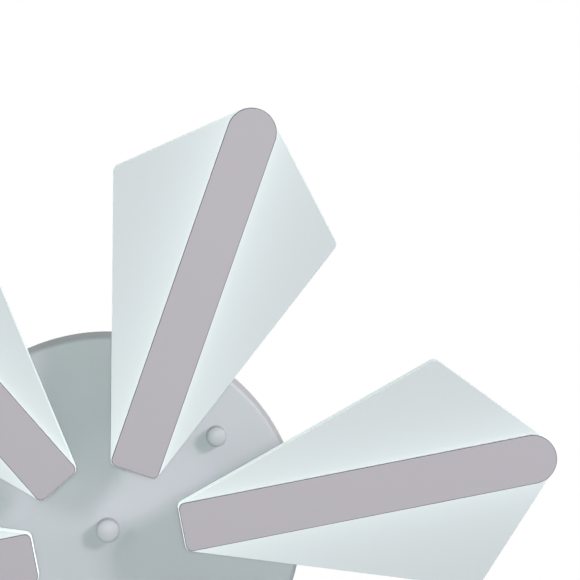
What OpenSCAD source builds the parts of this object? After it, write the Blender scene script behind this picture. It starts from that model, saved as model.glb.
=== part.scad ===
// Ceiling light: six kite-shaped opal wings round a shallow canopy, each with a flat bar along its middle.
// Z points up. The origin is on the ceiling, at the centre of the canopy's rim, and the light hangs below it.
// A wing is drawn pointing along +X and turned into place: along it, s is the distance from the light's axis.

/* [Canopy] */
// Diameter of the canopy's rim on the ceiling
canopy_d = 316; // [308:1:330]
// Depth of the canopy, ceiling to face
canopy_depth = 20; // [20:0.5:28]
// How far the side wall leans in from rim to shoulder
canopy_lean = 2; // [1:0.5:5]
// Radius of the shoulder between side wall and face
shoulder_r = 4; // [2.5:0.5:6]
// Thickness of the canopy's sheet
canopy_sheet = 1; // [0.8:0.1:1.5]

/* [Wings] */
// Distance from the light's axis to a wing's outer tip
tip_reach = 360; // [345:1:380]
// Distance from the light's axis to a bar's inner end
bar_start = 59; // [52:1:66]
// Width of a bar
bar_w = 39; // [37:0.5:44]
// Thickness of a bar
bar_t = 3; // [2:0.5:5]
// Corner radius of a bar's inner end
bar_corner_r = 5; // [3:0.5:8]
// How far the diffuser shows past the bar's inner end
diffuser_margin = 0.5; // [0.5:0.5:3]
// Distance from the light's axis to the wing's widest place
wide_at = 278; // [260:1:290]
// Width of a wing at its widest place
wing_w = 184; // [160:1:196]
// Corner radius of a wing at its widest place
wing_corner_r = 6; // [5:0.5:10]
// Thickness of the diffuser's acrylic
diffuser_t = 2; // [1.5:0.1:2.5]
// Height of the diffuser, front face to skirt edge
skirt_h = 12; // [10:0.5:18]
// Thickness of the wing tray's sheet
tray_sheet = 0.8; // [0.6:0.1:1.2]
// Height of the tray that shows behind the skirt
tray_show = 5; // [4:0.5:8]
// How far the skirt laps over the tray's wall
skirt_lap = 3; // [2:0.5:5]
// Clearance between the skirt and the tray's wall
skirt_gap = 0.3; // [0.2:0.1:0.6]

/* [Wing fixings] */
// Diameter of the bar's bosses
boss_d = 8; // [7:0.5:9]
// Clearance round a boss in the diffuser
boss_gap = 0.3; // [0.2:0.1:0.5]
// Thread diameter of the bar screws
bar_screw_d = 3; // [2.5:0.5:3]
// Length of the bar screws under the head
bar_screw_l = 8; // [6:0.5:12]
// Distance from a boss's middle to the bar's inner end
inner_boss_in = 18; // [12:1:24]
// Distance from the middle boss to the light's axis
middle_boss_at = 205; // [180:1:230]

/* [Light strips] */
// Width of a light strip
strip_w = 8; // [6:0.5:8]
// Thickness of a light strip's board
strip_t = 1; // [0.8:0.1:1.6]
// Distance between the middles of a wing's two strips
strip_spacing = 29; // [27.5:0.5:30]
// Distance from a strip's end to the bar's end, inner or outer
strip_inset = 14; // [10:1:24]
// Spacing of the light-emitting packages along a strip
led_pitch = 18; // [14:1:30]

/* [Stems] */
// Distance from the light's axis to a stem's axis
stem_at = 110; // [108:0.5:112]
// Length of a stem, canopy face to tray
stem_l = 52; // [40:1:70]
// Outer diameter of a stem's sleeve
sleeve_d = 16; // [15:0.5:18]
// Thread diameter of a stem's nipple
nipple_d = 10; // [9:0.5:11]
// Bore of a stem's nipple
nipple_bore = 7; // [5.5:0.5:7.5]
// Width across flats of a stem's lock nuts
stem_nut_af = 14; // [13:0.5:15]
// Height of a stem's lock nuts
stem_nut_h = 3.5; // [3:0.5:4]
// Thread that stands out past a lock nut
nipple_stand = 2; // [1:0.5:2.5]
// Radial clearance of the nipple in the tray's hole, on which the wing swivels
swivel_fit = 0.05; // [0.02:0.01:0.1]
// Play of the tray between the sleeve and the lock nut
swivel_play = 0.1; // [0.05:0.05:0.2]

/* [Ceiling bracket] */
// Length of the bracket
bracket_l = 250; // [244:2:270]
// Width of the bracket
bracket_w = 30; // [26:1:32]
// Height of the bracket's folded sides
bracket_h = 8; // [6:0.5:9]
// Thickness of the bracket's sheet
bracket_sheet = 1.5; // [1.2:0.1:2]
// Distance between the middles of the two ceiling slots
slot_spacing = 80; // [60:1:100]
// Length of a ceiling slot, end to end
slot_l = 20; // [12:1:30]
// Width of a ceiling slot
slot_w = 5; // [4:0.5:6]

/* [Studs and cap nuts] */
// Distance from the light's axis to a side stud
side_stud_at = 115.5; // [112:0.5:118]
// Thread diameter of the centre stud
centre_stud_d = 6; // [5:0.5:8]
// Thread diameter of the side studs
side_stud_d = 4; // [3:0.5:5]
// Length of stud that goes into a cap nut
stud_grip = 10; // [6:0.5:11]
// Diameter of the centre cap nut
centre_cap_d = 18.5; // [17:0.5:22]
// Height of the centre cap nut
centre_cap_h = 16.4; // [15:0.1:20]
// Diameter of a side cap nut
side_cap_d = 16; // [14:0.5:18]
// Height of a side cap nut
side_cap_h = 14.4; // [14:0.1:18]
// Height of a cap nut's domed end
cap_dome = 3.5; // [2.5:0.5:6]
// Radial clearance of a cap nut's thread on its stud
thread_fit = 0.05; // [0.02:0.01:0.1]
// Gap between a cap nut, screwed home, and the canopy
cap_seat = 0.1; // [0.05:0.05:0.2]

/* [Drivers and wiring] */
// Length of a driver's case
driver_l = 130; // [120:1:134]
// Width of a driver's case
driver_w = 38; // [34:1:40]
// Height of a driver's case
driver_h = 15; // [12:0.5:15]
// Distance from the bracket's middle to a driver's middle
driver_at = 43; // [41:0.5:44]
// Diameter of a two-core lead
lead_d = 3.5; // [2.5:0.1:3.6]
// Diameter of the earth lead
earth_lead_d = 2.4; // [2:0.1:2.6]
// Diameter of a strip's own lead
strip_lead_d = 1.6; // [1.2:0.1:1.8]

/* [Hidden] */
WINGS = 6;

$fn = 64;
// Overlap that carries a cut clear through a face
cut = 1;
first_wing_angle = 30;
wing_turn = 360 / WINGS;

// Colours
white_paint = [0.86, 0.88, 0.89];
bar_grey = [0.72, 0.70, 0.73];
opal = [0.92, 0.96, 0.97];
zinc = [0.75, 0.76, 0.78];
brass = [0.78, 0.66, 0.36];
case_white = [0.93, 0.93, 0.91];
board_white = [0.95, 0.95, 0.93];
lead_white = [0.9, 0.9, 0.88];
earth_green = [0.35, 0.6, 0.25];

// Levels, counted down from the ceiling
face_z = -canopy_depth;
canopy_floor_z = face_z + canopy_sheet;
tray_back_z = face_z - stem_l;
tray_floor_z = tray_back_z - tray_sheet;
skirt_edge_z = tray_back_z - tray_show;
diffuser_front_z = skirt_edge_z - skirt_h;
bar_front_z = diffuser_front_z - bar_t;

canopy_r = canopy_d / 2;
tip_r = bar_w / 2;
tip_at = tip_reach - tip_r;
bar_corner_side = tip_r - bar_corner_r;
diffuser_corner_r = bar_corner_r + diffuser_margin;

// Nipple, between the canopy's and the wing's lock nuts
nipple_top_z = canopy_floor_z + stem_nut_h + nipple_stand;
nipple_end_z = tray_floor_z - swivel_play - stem_nut_h - nipple_stand;
nipple_hole_gap = 0.25;
sleeve_gap = 0.3;

// Bosses and screws under a bar
boss_places = [bar_start + inner_boss_in, middle_boss_at, tip_at - bar_corner_r];
screw_thread_gap = 0.05;
screw_hole_gap = 0.2;
screw_head_d = 1.85 * bar_screw_d;
screw_head_h = 0.75 * bar_screw_d;
boss_bore_depth = bar_screw_l + 2;

// Light strips
strip_start = bar_start + strip_inset;
strip_end = tip_reach - strip_inset - tip_r / 2;
led_size = [3.5, 2.8, 0.8];
led_margin = 6;

// Studs and what they pass
stud_hole_gap = 0.05;
canopy_hole_gap = 0.5;
stud_nut_h_ratio = 0.8;
stud_nut_af_ratio = 1.7;

// Mounts of the drivers and the terminal block on the canopy's inner face
mount_stud_d = 3;
mount_stud_h = 5.5;
mount_nut_af = 5.5;
mount_nut_h = 2.4;
ear_t = 1.5;
ear_l = 10;
ear_w = 14;
ear_side = 11;
ear_stud_at = driver_l / 2 + ear_l / 2;
driver_edge_r = 3;

// Terminal block, beside the first driver
poles = 3;
pole_pitch = 8;
terminal_size = [poles * pole_pitch + 2, 16, 12];
terminal_gap = 14;
driver_side = driver_at + driver_w / 2;
terminal_place = [-37, driver_side + terminal_gap + terminal_size[1] / 2];
terminal_ear = 8;
terminal_stud_place = terminal_place - [terminal_size[0] / 2 + terminal_ear / 2, 0];
terminal_screw_d = 3.4;
terminal_screw_h = 1.6;
terminal_well = 2.5;
terminal_wire_hole_d = 4;
terminal_wire_hole_z = canopy_floor_z + 6;
terminal_side = terminal_place[1] - terminal_size[1] / 2;

// Earth stud
earth_place = [-76, 96];
earth_stud_d = 4;
earth_stud_h = 7;
earth_nut_af = 7;
earth_nut_h = 3.2;
earth_lug_d = 9;
earth_lug_t = 0.8;
earth_crimp_l = 9;
earth_crimp_d = 4;

// Where the leads leave a driver's end, across it and up it
driver_end = driver_l / 2;
past_ear = driver_end + ear_l + lead_d;
lead_rows = [0, 7, 14];
lead_z = canopy_floor_z + 8;
lead_low_z = canopy_floor_z + lead_d / 2 + 0.6;
lead_over_z = nipple_top_z + 6.5;
lead_end_z = nipple_end_z - 0.6;

// The angle of wing i, from 1 to WINGS, and the place of its stem
function wing_angle(i) = first_wing_angle + wing_turn * (i - 1);
function stem_place(angle) = stem_at * [cos(angle), sin(angle)];

// Outlines: a convex outline is a list of [centre, radius] corners, counter-clockwise,
// with arcs on the corners and straight lines that touch them
function touch_angle(a, b) =
    let (run = b[0] - a[0])
    atan2(run[1], run[0]) - acos((a[1] - b[1]) / norm(run));
function turned(from, to) = to < from ? turned(from, to + 360) : to;
function corner_arc(corner, from, to, grow) =
    let (steps = max(2, ceil((to - from) / 9)))
    [for (k = [0:steps])
        let (a = from + (to - from) * k / steps)
        corner[0] + (corner[1] + grow) * [cos(a), sin(a)]];
function outline(corners, grow = 0) =
    let (n = len(corners))
    [for (i = [0:n - 1])
        let (from = touch_angle(corners[(i + n - 1) % n], corners[i]),
             to = turned(from, touch_angle(corners[i], corners[(i + 1) % n])))
        each corner_arc(corners[i], from, to, grow)];

bar_corners = [
    [[bar_start + bar_corner_r, -bar_corner_side], bar_corner_r],
    [[tip_at, 0], tip_r],
    [[bar_start + bar_corner_r, bar_corner_side], bar_corner_r]];
wing_side = wing_w / 2 - wing_corner_r;
wing_corners = [
    [[bar_start + bar_corner_r, -bar_corner_side], diffuser_corner_r],
    [[wide_at, -wing_side], wing_corner_r],
    [[tip_at, 0], tip_r],
    [[wide_at, wing_side], wing_corner_r],
    [[bar_start + bar_corner_r, bar_corner_side], diffuser_corner_r]];
tray_inset = diffuser_t + skirt_gap;

// A slab with the given outline between two levels
module slab(points, low, high) {
    translate([0, 0, low]) linear_extrude(high - low) polygon(points);
}

module at_wing(i) {
    rotate(wing_angle(i)) children();
}

module at_stems() {
    for (i = [1:WINGS]) at_wing(i) translate([stem_at, 0, 0]) children();
}

module hex_nut(across, height, hole_d) {
    difference() {
        cylinder(d = across / cos(30), h = height, $fn = 6);
        translate([0, 0, -cut]) cylinder(d = hole_d, h = height + 2 * cut);
    }
}

// Leads: a tube along hand-chosen points, with one point more between each two of them.
// A lead's first and last points lie straight ahead of its ends, so that it meets them square.
function mid_point(p, i) =
    let (a = p[max(0, i - 1)], b = p[i], c = p[i + 1], d = p[min(len(p) - 1, i + 2)])
    (9 * (b + c) - a - d) / 16;
function smooth(p) =
    [for (i = [0:len(p) - 1])
        each (i > 0 && i < len(p) - 2 ? [p[i], mid_point(p, i)] : [p[i]])];
function unit(v) = v / norm(v);
function heading(p, i) = unit(p[min(len(p) - 1, i + 1)] - p[max(0, i - 1)]);
function squared(v, along) = unit(v - (v * along) * along);
// The ring's own sideways direction, carried along the tube so that it doesn't twist
function carried(p, i, side) =
    i == 0 ? [side] :
    let (before = carried(p, i - 1, side))
    concat(before, [squared(before[i - 1], heading(p, i))]);
function tube_points(p, r, sides) =
    let (start = heading(p, 0),
         side = squared(abs(start[2]) < 0.9 ? [0, 0, 1] : [1, 0, 0], start),
         sideways = carried(p, len(p) - 1, side))
    [for (i = [0:len(p) - 1], k = [0:sides - 1])
        let (u = sideways[i], w = cross(heading(p, i), u), a = 360 * k / sides)
        p[i] + r * (cos(a) * u + sin(a) * w)];
module tube(points, d, sides = 8) {
    rings = len(points);
    polyhedron(
        points = tube_points(points, d / 2, sides),
        faces = concat(
            [[for (k = [0:sides - 1]) k]],
            [for (i = [0:rings - 2], k = [0:sides - 1])
                let (a = i * sides + k, b = i * sides + (k + 1) % sides)
                each [[a, a + sides, b + sides], [a, b + sides, b]]],
            [[for (k = [sides - 1:-1:0]) (rings - 1) * sides + k]]));
}

// Canopy
module canopy_profile(inset) {
    shoulder = [canopy_r - canopy_lean - shoulder_r, face_z + shoulder_r];
    rim = [[canopy_r - inset, 0], 0];
    corner = [shoulder, shoulder_r - inset];
    wall_angle = touch_angle(corner, rim);
    polygon(concat(
        [[0, inset > 0 ? cut : 0], [0, face_z + inset]],
        corner_arc(corner, -90, wall_angle, 0),
        [[canopy_r - inset, 0]],
        inset > 0 ? [[canopy_r - inset, cut]] : []));
}

module canopy() color(white_paint) {
    difference() {
        rotate_extrude($fn = 128) difference() {
            canopy_profile(0);
            canopy_profile(canopy_sheet);
        }
        translate([0, 0, face_z - cut]) {
            cylinder(d = centre_stud_d + 2 * canopy_hole_gap, h = canopy_sheet + 2 * cut);
            for (side = [-1, 1]) translate([side * side_stud_at, 0, 0])
                cylinder(d = side_stud_d + 2 * canopy_hole_gap, h = canopy_sheet + 2 * cut);
            at_stems() cylinder(d = nipple_d + 2 * nipple_hole_gap, h = canopy_sheet + 2 * cut);
        }
    }
    at_mount_studs() cylinder(d = mount_stud_d, h = mount_stud_h);
    at_earth_stud() cylinder(d = earth_stud_d, h = earth_stud_h);
}

// The welded studs on the canopy's inner face, four for the drivers and one for the terminal block
module at_mount_studs() {
    for (end = [-1, 1], side = [-1, 1])
        translate([end * ear_stud_at, side * (driver_at - ear_side), canopy_floor_z]) children();
    translate([terminal_stud_place[0], terminal_stud_place[1], canopy_floor_z]) children();
}

module at_earth_stud() {
    translate([earth_place[0], earth_place[1], canopy_floor_z]) rotate(-90) children();
}

// Ceiling bracket, studs and cap nuts
module ceiling_bracket() color(zinc) {
    half_w = bracket_w / 2;
    difference() {
        translate([-bracket_l / 2, 0, 0]) rotate([90, 0, 90]) linear_extrude(bracket_l) polygon([
            [-half_w, -bracket_h], [-half_w, -bracket_sheet / 2], [-half_w + bracket_sheet / 2, 0],
            [half_w - bracket_sheet / 2, 0], [half_w, -bracket_sheet / 2], [half_w, -bracket_h],
            [half_w - bracket_sheet, -bracket_h], [half_w - bracket_sheet, -bracket_sheet],
            [-half_w + bracket_sheet, -bracket_sheet], [-half_w + bracket_sheet, -bracket_h]]);
        translate([0, 0, -bracket_sheet - cut]) {
            cylinder(d = centre_stud_d + 2 * stud_hole_gap, h = bracket_sheet + 2 * cut);
            for (side = [-1, 1]) {
                translate([side * side_stud_at, 0, 0])
                    cylinder(d = side_stud_d + 2 * stud_hole_gap, h = bracket_sheet + 2 * cut);
                translate([side * slot_spacing / 2, 0, 0]) ceiling_slot();
            }
        }
    }
}

module ceiling_slot() {
    run = slot_l - slot_w;
    for (end = [-1, 1]) translate([end * run / 2, 0, 0])
        cylinder(d = slot_w, h = bracket_sheet + 2 * cut);
    translate([-run / 2, -slot_w / 2, 0]) cube([run, slot_w, bracket_sheet + 2 * cut]);
}

module stud(d) {
    end_z = face_z - cap_seat - stud_grip;
    translate([0, 0, end_z]) cylinder(d = d, h = -end_z);
}

module centre_stud() color(zinc) stud(centre_stud_d);

module side_studs() color(zinc)
    for (side = [-1, 1]) translate([side * side_stud_at, 0, 0]) stud(side_stud_d);

module stud_nut(d) {
    height = stud_nut_h_ratio * d;
    translate([0, 0, -bracket_sheet - height])
        hex_nut(stud_nut_af_ratio * d, height, d + 2 * stud_hole_gap);
}

module stud_nuts() color(zinc) {
    stud_nut(centre_stud_d);
    for (side = [-1, 1]) translate([side * side_stud_at, 0, 0]) stud_nut(side_stud_d);
}

module cap_nut(d, h, thread_d) {
    seat_z = face_z - cap_seat;
    edge = 0.6;
    difference() {
        translate([0, 0, seat_z]) rotate_extrude() polygon(concat(
            [[0, 0]],
            [for (a = [90:-10:0]) [d / 2 * cos(a), -(h - cap_dome) - cap_dome * sin(a)]],
            [[d / 2, -edge], [d / 2 - edge, 0]]));
        translate([0, 0, seat_z - stud_grip - cut])
            cylinder(d = thread_d + 2 * thread_fit, h = stud_grip + 2 * cut);
    }
}

module centre_cap_nut() color(white_paint) cap_nut(centre_cap_d, centre_cap_h, centre_stud_d);

module side_cap_nut(side) color(white_paint)
    translate([side * side_stud_at, 0, 0]) cap_nut(side_cap_d, side_cap_h, side_stud_d);

// Stems
module stem_nipples() color(brass) at_stems()
    translate([0, 0, nipple_end_z]) difference() {
        cylinder(d = nipple_d, h = nipple_top_z - nipple_end_z);
        translate([0, 0, -cut])
            cylinder(d = nipple_bore, h = nipple_top_z - nipple_end_z + 2 * cut);
    }

module stem_nut_at(z) {
    at_stems() translate([0, 0, z]) hex_nut(stem_nut_af, stem_nut_h, nipple_d + 2 * stud_hole_gap);
}

module stem_top_nuts() color(zinc) stem_nut_at(canopy_floor_z);

module stem_bottom_nuts() color(zinc) stem_nut_at(tray_floor_z - swivel_play - stem_nut_h);

module stem_sleeve(i) color(white_paint) {
    length = stem_l - swivel_play;
    at_wing(i) translate([stem_at, 0, face_z - length]) difference() {
        cylinder(d = sleeve_d, h = length);
        translate([0, 0, -cut]) cylinder(d = nipple_d + 2 * sleeve_gap, h = length + 2 * cut);
    }
}

// Wings
module wing_tray(i) color(white_paint) at_wing(i) difference() {
    slab(outline(wing_corners, -tray_inset), skirt_edge_z - skirt_lap, tray_back_z);
    slab(outline(wing_corners, -tray_inset - tray_sheet), skirt_edge_z - skirt_lap - cut, tray_floor_z);
    translate([stem_at, 0, tray_floor_z - cut])
        cylinder(d = nipple_d + 2 * swivel_fit, h = tray_sheet + 2 * cut);
    for (s = boss_places) translate([s, 0, tray_floor_z - cut])
        cylinder(d = bar_screw_d + 2 * screw_hole_gap, h = tray_sheet + 2 * cut);
}

module wing_diffuser(i) color(opal) at_wing(i) difference() {
    slab(outline(wing_corners), diffuser_front_z, skirt_edge_z);
    slab(outline(wing_corners, -diffuser_t), diffuser_front_z + diffuser_t, skirt_edge_z + cut);
    for (s = boss_places) translate([s, 0, diffuser_front_z - cut])
        cylinder(d = boss_d + 2 * boss_gap, h = diffuser_t + 2 * cut);
}

module wing_bar(i) color(bar_grey) at_wing(i) difference() {
    union() {
        slab(outline(bar_corners), bar_front_z, diffuser_front_z);
        for (s = boss_places) translate([s, 0, diffuser_front_z])
            cylinder(d = boss_d, h = tray_floor_z - diffuser_front_z);
    }
    for (s = boss_places) translate([s, 0, tray_floor_z - boss_bore_depth])
        cylinder(d = bar_screw_d + 2 * screw_thread_gap, h = boss_bore_depth + cut);
}

module wing_bar_screws(i) color(zinc) at_wing(i)
    for (s = boss_places) translate([s, 0, tray_back_z]) {
        cylinder(d = screw_head_d, h = screw_head_h);
        translate([0, 0, -bar_screw_l]) cylinder(d = bar_screw_d, h = bar_screw_l);
    }

// A wing's two strips, each with its packages, and the leads that join them to the stem's mouth
module wing_light_strips(i) color(board_white) at_wing(i)
    for (side = [-1, 1]) {
        length = strip_end - strip_start;
        leds = floor((length - 2 * led_margin) / led_pitch) + 1;
        first_led = strip_start + (length - (leds - 1) * led_pitch) / 2;
        board_z = tray_floor_z - strip_t;
        translate([strip_start, side * strip_spacing / 2 - strip_w / 2, board_z])
            cube([length, strip_w, strip_t]);
        for (n = [0:leds - 1])
            translate([first_led + n * led_pitch - led_size[0] / 2,
                       side * strip_spacing / 2 - led_size[1] / 2, board_z - led_size[2]])
                cube(led_size);
        tube(strip_lead_route(side, board_z), strip_lead_d, 6);
    }

function strip_lead_route(side, board_z) =
    let (r = strip_lead_d / 2,
         edge = strip_spacing / 2 - strip_w / 2 + r + 0.3,
         mouth = lead_end_z - 0.1)
    [[stem_at, side * (r + 0.05), mouth],
     [stem_at, side * (r + 0.2), mouth - 1.4],
     [stem_at + 3, side * 4, mouth - 2.2],
     [stem_at + 9, side * 8, mouth - 0.5],
     [stem_at + 15, side * edge, board_z - 2 * r],
     [stem_at + 20, side * edge, board_z - r]];

// Drivers, terminal block and earth
module driver(side) color(case_white) {
    body = [[-driver_l / 2, -driver_w / 2], [driver_l / 2, -driver_w / 2],
            [driver_l / 2, driver_w / 2], [-driver_l / 2, driver_w / 2]];
    half = [driver_l / 2 - driver_edge_r, driver_w / 2 - driver_edge_r];
    corners = [for (c = [[-1, -1], [1, -1], [1, 1], [-1, 1]])
        [[c[0] * half[0], c[1] * half[1]], driver_edge_r]];
    mirror([0, side < 0 ? 1 : 0, 0]) translate([0, driver_at, 0]) difference() {
        union() {
            slab(outline(corners), canopy_floor_z, canopy_floor_z + driver_h);
            translate([-driver_l / 2 - ear_l, -ear_side - ear_w / 2, canopy_floor_z])
                cube([driver_l + 2 * ear_l, ear_w, ear_t]);
        }
        for (end = [-1, 1]) translate([end * ear_stud_at, -ear_side, canopy_floor_z - cut])
            cylinder(d = mount_stud_d + 2 * canopy_hole_gap, h = ear_t + 2 * cut);
    }
}

module mount_nuts() color(zinc) at_mount_studs()
    translate([0, 0, ear_t]) hex_nut(mount_nut_af, mount_nut_h, mount_stud_d + 2 * stud_hole_gap);

// The poles' places across the block, in its own frame
function pole_x(n) = (n - (poles - 1) / 2) * pole_pitch;

module terminal_block() color(case_white)
    translate([terminal_place[0], terminal_place[1], canopy_floor_z]) difference() {
        union() {
            translate([-terminal_size[0] / 2, -terminal_size[1] / 2, 0]) cube(terminal_size);
            translate([-terminal_size[0] / 2 - terminal_ear, -terminal_ear / 2, 0])
                cube([terminal_ear + cut, terminal_ear, ear_t]);
        }
        translate([-terminal_size[0] / 2 - terminal_ear / 2, 0, -cut])
            cylinder(d = mount_stud_d + 2 * canopy_hole_gap, h = ear_t + 2 * cut);
        for (n = [0:poles - 1], side = [-1, 1]) translate([pole_x(n), 0, 0]) {
            translate([0, side * terminal_size[1] / 2, terminal_wire_hole_z - canopy_floor_z])
                rotate([side * 90, 0, 0]) translate([0, 0, -cut])
                    cylinder(d = terminal_wire_hole_d, h = terminal_size[1] / 4 + cut);
            translate([0, side * terminal_size[1] / 4, terminal_size[2] - terminal_well])
                cylinder(d = terminal_screw_d + 1, h = terminal_well + cut);
        }
    }

module terminal_screws() color(brass)
    translate([terminal_place[0], terminal_place[1], canopy_floor_z + terminal_size[2] - terminal_well])
        for (n = [0:poles - 1], side = [-1, 1])
            translate([pole_x(n), side * terminal_size[1] / 4, 0]) difference() {
                cylinder(d = terminal_screw_d, h = terminal_screw_h);
                translate([-terminal_screw_d, -0.3, terminal_screw_h / 2])
                    cube([2 * terminal_screw_d, 0.6, terminal_screw_h]);
            }

module earth_lug() color(zinc) at_earth_stud() difference() {
    union() {
        cylinder(d = earth_lug_d, h = earth_lug_t);
        translate([0, -earth_lug_d / 4, 0]) cube([earth_lug_d, earth_lug_d / 2, earth_lug_t]);
        translate([earth_lug_d, 0, earth_crimp_d / 2]) rotate([0, 90, 0])
            cylinder(d = earth_crimp_d, h = earth_crimp_l - earth_lug_d / 2);
    }
    translate([0, 0, -cut]) cylinder(d = earth_stud_d + 2 * stud_hole_gap, h = earth_lug_t + 2 * cut);
}

module earth_nut() color(zinc) at_earth_stud() translate([0, 0, earth_lug_t])
    hex_nut(earth_nut_af, earth_nut_h, earth_stud_d + 2 * stud_hole_gap);

// Leads. A route starts square to a driver's end and ends in a stem's mouth. The points that pass
// a driver's end or side are counted from it.
function into_stem(angle) =
    let (p = stem_place(angle))
    [[p[0], p[1], lead_over_z - 4], [p[0], p[1], nipple_top_z], [p[0], p[1], lead_end_z]];
function from_driver(row) =
    [for (out = [0, 3]) [driver_end + out, driver_at + lead_rows[row], lead_z]];
function to_driver(side) =
    [for (out = [3, 0]) [-driver_end - out, side * (driver_at + lead_rows[1]), lead_z]];
function from_terminal(pole) =
    [for (out = [-2, 2])
        [terminal_place[0] + pole_x(pole), terminal_side - out, terminal_wire_hole_z]];

near_route = concat(
    from_driver(2),
    [[driver_end + 9, 58, lead_z + 2], [84, 57, lead_over_z], [92, 55.5, lead_over_z]],
    into_stem(30));
side_route = concat(
    from_driver(1),
    [[driver_end + 9, 51, lead_z - 1], [81, 60, lead_z - 4], [77, 76, lead_low_z],
     [60, 91, lead_low_z], [36, 102, lead_z - 2], [14, 108, lead_over_z - 1], [3, stem_at, lead_over_z]],
    into_stem(90));
far_route = concat(
    from_driver(0),
    [[driver_end + 9, 42, lead_z - 1], [driver_end + 16, 34, lead_low_z],
     [driver_end + 13, 18, lead_low_z], [66, 8, lead_low_z], [20, 8, lead_low_z],
     [-40, 8, lead_low_z], [-68, 10, lead_z - 1],
     [-84, 26, lead_z - 1], [-92, 44, lead_over_z], [-95, 52, lead_over_z]],
    into_stem(150));

module output_leads() color(lead_white)
    for (side = [0, 1], route = [near_route, side_route, far_route])
        mirror([0, side, 0]) tube(smooth(route), lead_d);

supply_route_1 = concat(
    from_terminal(2),
    [[-33, driver_side + 5, lead_z - 2], [-42, driver_side + 3, lead_z - 2],
     [-62, driver_side + 3, lead_z - 2], [-driver_end - 9, driver_side - 1, lead_z - 1],
     [-driver_end - 11, 54, lead_z],
     [-driver_end - 7, 50.5, lead_z]],
    to_driver(1));
supply_route_2 = concat(
    from_terminal(1),
    [[-41, driver_side + 9, lead_low_z + 1], [-50, driver_side + 7.5, lead_low_z],
     [-66, driver_side + 7.5, lead_low_z], [-driver_end - 10, driver_side - 1, lead_low_z],
     [-driver_end - 10.5, 52, lead_low_z],
     [-past_ear, 40, lead_low_z], [-past_ear, 0, lead_low_z],
     [-past_ear, -36, lead_low_z + 1], [-driver_end - 12, -48, lead_z - 1]],
    to_driver(-1));
earth_route = concat(
    from_terminal(0),
    [[-50, driver_side + 11.5, lead_low_z + 1], [-61, driver_side + 11.5, lead_low_z],
     [-71, driver_side + 12.5, lead_low_z]],
    [for (out = [3, 0])
        [earth_place[0], earth_place[1] - earth_lug_d / 2 - earth_crimp_l - out,
         canopy_floor_z + earth_crimp_d / 2]]);

module supply_leads() color(lead_white) {
    tube(smooth(supply_route_1), lead_d);
    tube(smooth(supply_route_2), lead_d);
}

module earth_lead() color(earth_green) tube(smooth(earth_route), earth_lead_d);

ceiling_bracket();
centre_stud();
side_studs();
stud_nuts();
canopy();
centre_cap_nut();
side_cap_nut(1);  // side_cap_nut_1
side_cap_nut(-1);  // side_cap_nut_2
driver(1);  // driver_1
driver(-1);  // driver_2
mount_nuts();
terminal_block();
terminal_screws();
earth_lug();
earth_nut();
output_leads();
supply_leads();
earth_lead();
stem_nipples();
stem_top_nuts();
stem_bottom_nuts();
for (i = [1:WINGS]) {
    stem_sleeve(i);
    wing_tray(i);
    wing_light_strips(i);
    wing_diffuser(i);
    wing_bar(i);
    wing_bar_screws(i);
}
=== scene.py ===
import math

import bmesh
import bpy
from mathutils import Matrix, Vector


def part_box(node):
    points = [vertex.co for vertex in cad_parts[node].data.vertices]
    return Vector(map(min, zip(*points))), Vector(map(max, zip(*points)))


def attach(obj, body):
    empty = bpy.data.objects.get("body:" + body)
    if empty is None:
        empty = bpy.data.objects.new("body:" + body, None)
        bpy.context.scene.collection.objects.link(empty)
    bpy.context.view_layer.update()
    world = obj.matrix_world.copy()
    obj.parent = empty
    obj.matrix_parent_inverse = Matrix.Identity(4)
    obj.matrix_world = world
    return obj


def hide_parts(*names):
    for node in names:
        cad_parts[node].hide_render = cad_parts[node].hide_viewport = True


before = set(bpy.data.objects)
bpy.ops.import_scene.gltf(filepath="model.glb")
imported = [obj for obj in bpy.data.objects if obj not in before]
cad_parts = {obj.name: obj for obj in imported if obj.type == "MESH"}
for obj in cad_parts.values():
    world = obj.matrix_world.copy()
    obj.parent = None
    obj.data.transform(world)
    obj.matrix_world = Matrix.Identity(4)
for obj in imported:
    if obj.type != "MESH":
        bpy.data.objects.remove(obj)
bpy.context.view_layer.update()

# The view: from 2.6 m below the light, almost straight up, through a long lens that takes in a third
# of the canopy and four of the six wings.
camera_place = (0.2476, -0.3214, -2.593)
camera_turn_deg = (175.282, 3.754, 40.657)
camera_lens = bpy.data.cameras.new("view_camera")
camera_lens.sensor_width = 36
camera_lens.lens = 199.6
camera_lens.clip_end = 60
view_camera = bpy.data.objects.new("view_camera", camera_lens)
view_camera.location = camera_place
view_camera.rotation_euler = [math.radians(turn) for turn in camera_turn_deg]
bpy.context.scene.collection.objects.link(view_camera)
bpy.context.scene.camera = view_camera
bpy.context.scene.view_settings.view_transform = "Standard"

# The room: a pale floor far below, so that the light can be looked at from under it too, and even
# daylight from all round, which looks white behind the light and in its metal.
floor_depth = 6.0
floor_half = 60.0
floor_colour = (0.86, 0.87, 0.88)
floor_roughness = 0.9
floor_white_share = 0.7
pure_white = (1, 1, 1, 1)
daylight_colour = (0.89, 1.0, 0.975)
daylight_level = 0.10
light_middle = (0, 0, -0.05)


def feed(tree, place, value):
    """Gives a node's input a plain value, or links another node's output to it."""
    if isinstance(value, bpy.types.NodeSocket):
        tree.links.new(value, place)
    else:
        place.default_value = value


def worked_out(tree, operation, *values):
    """The output of an operation on plain numbers or other nodes' outputs."""
    node = tree.nodes.new("ShaderNodeMath")
    node.operation = operation
    for place, value in zip(node.inputs, values):
        feed(tree, place, value)
    return node.outputs[0]


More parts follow.
